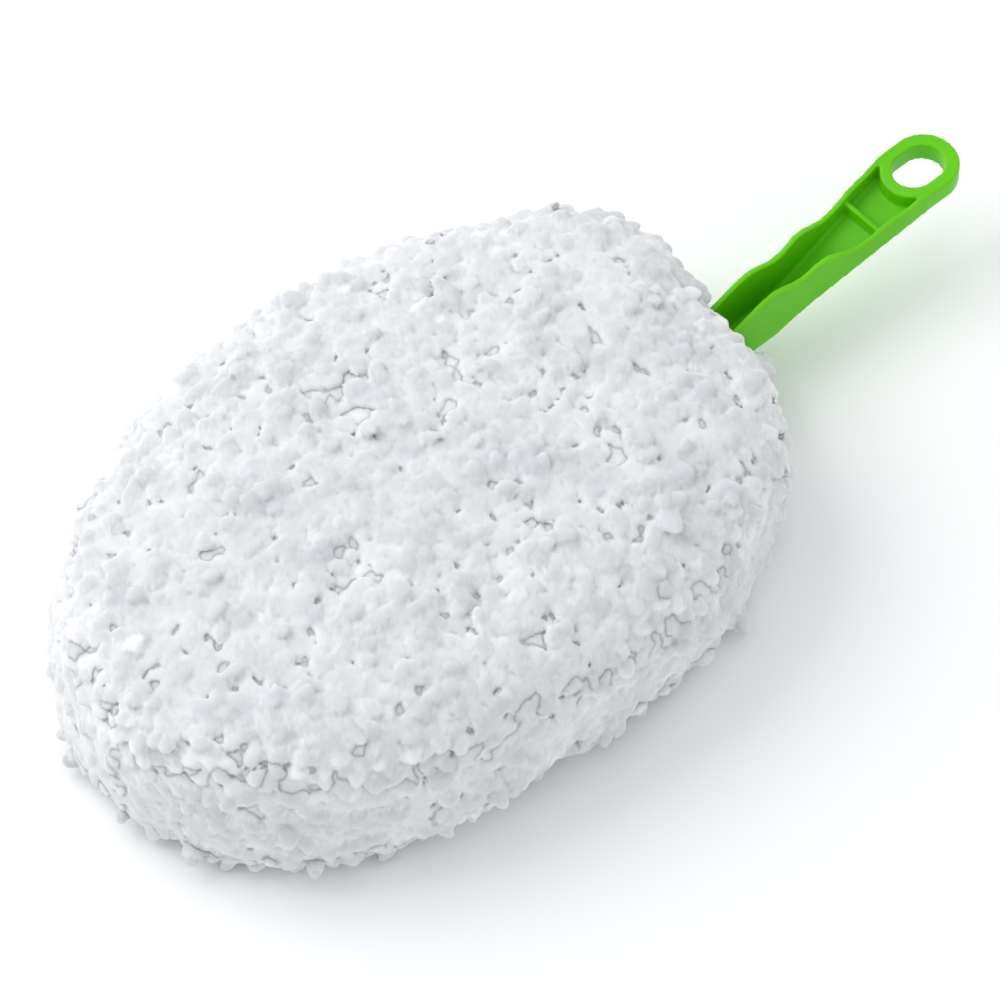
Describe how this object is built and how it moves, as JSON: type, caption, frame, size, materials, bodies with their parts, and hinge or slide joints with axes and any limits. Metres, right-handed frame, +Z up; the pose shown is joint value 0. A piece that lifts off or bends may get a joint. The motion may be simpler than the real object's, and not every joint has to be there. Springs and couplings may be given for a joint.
{
  "type": "wheel wash brush",
  "caption": "Plump oval microfibre wash pad that pulls off the flat paddle of a short moulded channel handle with a hang eye.",
  "frame": {"origin": "bottom centre of the overall box, on the plane that the back pile lies on", "axes": "+X along the handle from the pad to the hang eye, +Y across the pad, +Z up out of the working face"},
  "size_m": [0.365, 0.1838, 0.068],
  "materials": {
    "green_plastic": "semi-matte moulded polypropylene, leaf green",
    "pile_white": "plump white microfibre loop pile with a soft satin sheen",
    "foam_grey": "light grey open-cell sponge",
    "lining_white": "white woven polyester lining",
    "tape_white": "white sewn binding tape",
    "elastic_white": "white covered elastic band"
  },
  "bodies": {
    "handle": {"handle_frame": "green_plastic"},
    "cover": {"front_pile": "pile_white", "rear_pile": "pile_white", "front_foam": "foam_grey", "rear_foam": "foam_grey", "front_lining": "lining_white", "rear_lining": "lining_white", "edge_binding": "tape_white", "mouth_hem": "lining_white", "mouth_elastic": "elastic_white"}
  },
  "joints": [
    {"name": "cover_pull_off", "type": "slide", "parent": "handle", "child": "cover", "axis": [-1, 0, 0], "range_m": [0, 0.24]}
  ]
}
